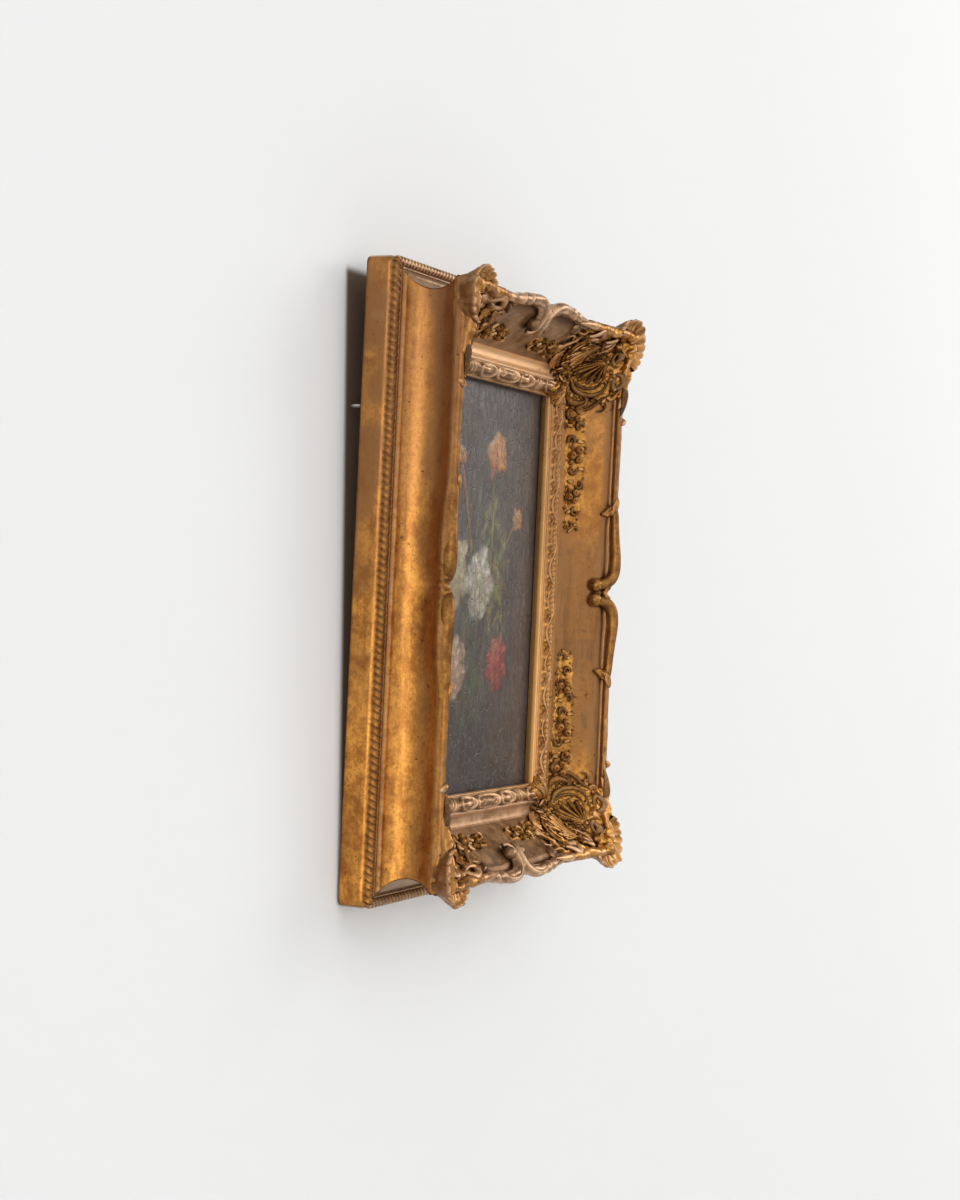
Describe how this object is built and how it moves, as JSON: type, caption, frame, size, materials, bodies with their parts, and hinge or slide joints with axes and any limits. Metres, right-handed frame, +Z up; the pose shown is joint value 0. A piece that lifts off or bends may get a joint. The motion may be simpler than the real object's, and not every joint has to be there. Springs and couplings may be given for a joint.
{
  "type": "framed oil painting",
  "caption": "Small oil painting of flowers on board in a deep swept gilt frame with scrolled crests and applied corner cartouches, with screw eyes on the back for hanging.",
  "frame": {"origin": "on the flat back of the top rail, half-way along it, 22 mm below the top edge", "axes": "+Z up, the painting faces -Y, +X to the viewer's right, +Y towards the wall"},
  "size_m": [0.3, 0.0847, 0.4],
  "materials": {
    "gilt_rail": "aged gilding over wood and composition, rubbed and toned",
    "gilt_composition": "aged gilding over cast composition, dark in the hollows",
    "oil_paint": "varnished oil paint on board, with fine cracking",
    "steel_eye": "dull plated steel wire"
  },
  "bodies": {
    "root": {"rail_top": "gilt_rail", "rail_bottom": "gilt_rail", "rail_left": "gilt_rail", "rail_right": "gilt_rail", "corner_top_left": "gilt_composition", "corner_top_right": "gilt_composition", "corner_bottom_left": "gilt_composition", "corner_bottom_right": "gilt_composition", "painting": "oil_paint", "screw_eye_left": "steel_eye", "screw_eye_right": "steel_eye"}
  },
  "joints": []
}
